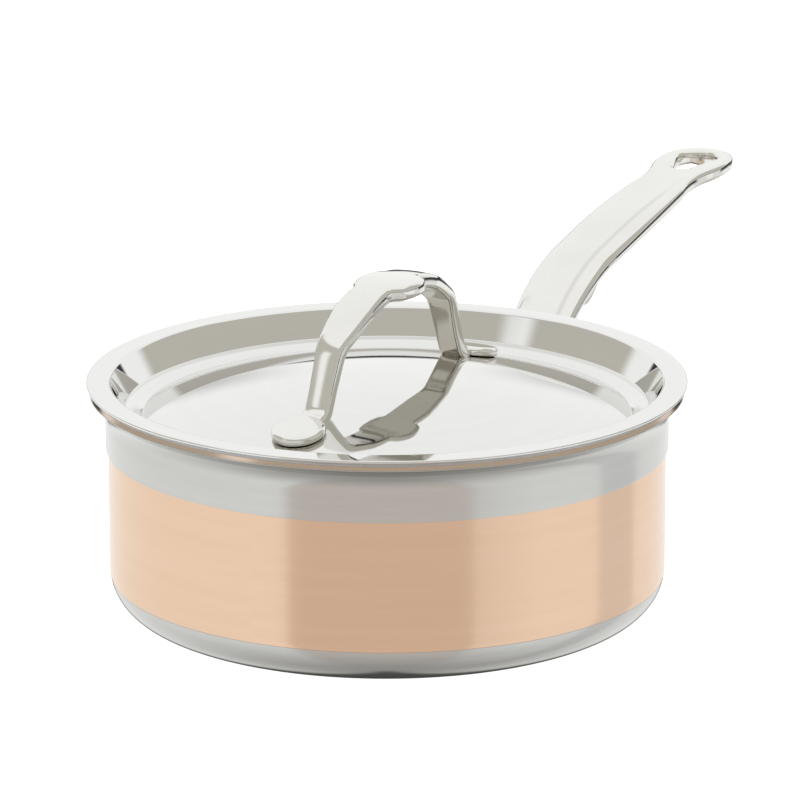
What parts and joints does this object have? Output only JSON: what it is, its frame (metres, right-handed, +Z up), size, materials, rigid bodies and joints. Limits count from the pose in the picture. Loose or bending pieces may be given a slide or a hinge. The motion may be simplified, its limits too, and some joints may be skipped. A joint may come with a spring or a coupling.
{
  "type": "covered saucepan",
  "caption": "Shallow round saucepan with an exposed copper wall, steel rim band, cast steel handle, and a recessed steel lid with an arched handle.",
  "frame": {"origin": "on the pan's axis at its flat underside", "axes": "+Z up along the pan's axis, +X along the long handle"},
  "size_m": [0.3494, 0.1968, 0.1114],
  "materials": {
    "satin_liner": "satin, fine turned grain",
    "core_aluminium": "matt",
    "copper": "satin bare copper, fine turned grain",
    "satin_band": "satin, fine turned grain",
    "satin_base": "satin, fine turned grain",
    "cast_steel": "polished casting",
    "mirror_steel": "mirror polished"
  },
  "bodies": {
    "pan": {"inner_liner": "satin_liner", "aluminium_core": "core_aluminium", "copper_wall": "copper", "rim_band": "satin_band", "base_cup": "satin_base", "pan_handle": "cast_steel", "handle_rivet_left": "satin_liner", "handle_rivet_right": "satin_liner"},
    "lid": {"lid_shell": "mirror_steel", "lid_handle": "cast_steel", "lid_rivet_outer": "satin_liner", "lid_rivet_inner": "satin_liner"}
  },
  "joints": [
    {"name": "lid_lift", "type": "slide", "parent": "pan", "child": "lid", "axis": [0, 0, 1], "range_m": [0, 0.12]}
  ]
}
